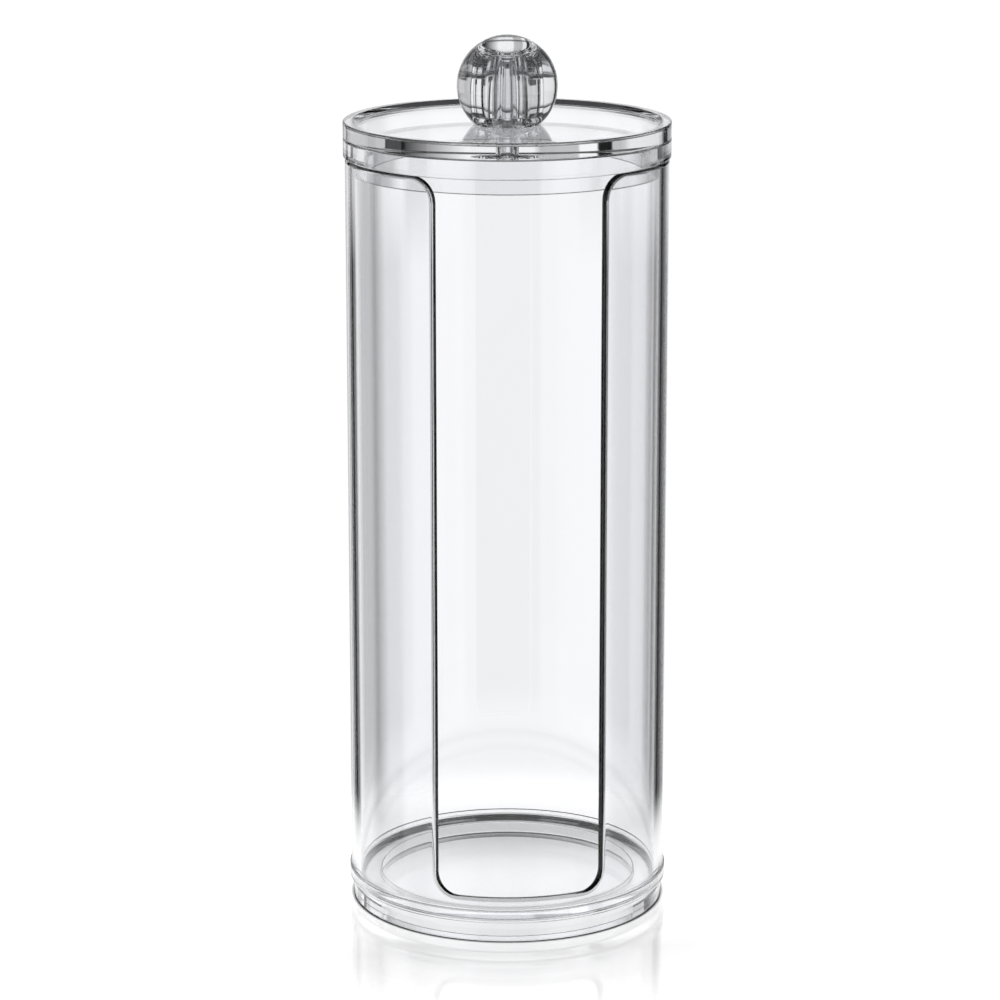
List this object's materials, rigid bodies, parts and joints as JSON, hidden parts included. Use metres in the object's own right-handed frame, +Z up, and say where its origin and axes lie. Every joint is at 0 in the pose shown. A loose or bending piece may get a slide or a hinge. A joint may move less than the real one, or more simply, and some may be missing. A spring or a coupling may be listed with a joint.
{
  "type": "cotton pad holder",
  "caption": "Tall clear tube on a stepped base, with a front slot for taking pads out and a lift-off lid with a ball knob.",
  "frame": {"origin": "centre of the underside of the base, on the surface that the holder stands on", "axes": "+Z up along the tube's axis, the front slot opens towards -Y, +X to the right when the slot is faced"},
  "size_m": [0.072, 0.072, 0.196],
  "materials": {
    "base_clear": "polished clear",
    "shell_clear": "polished clear",
    "lid_clear": "polished clear",
    "knob_clear": "polished clear"
  },
  "bodies": {
    "holder": {"base_cup": "base_clear", "body_shell": "shell_clear"},
    "lid": {"lid_collar": "lid_clear", "lid_disc": "lid_clear", "knob_ball": "knob_clear"}
  },
  "joints": [
    {"name": "lid_lift", "type": "slide", "parent": "holder", "child": "lid", "axis": [0, 0, 1], "range_m": [0, 0.06]}
  ]
}
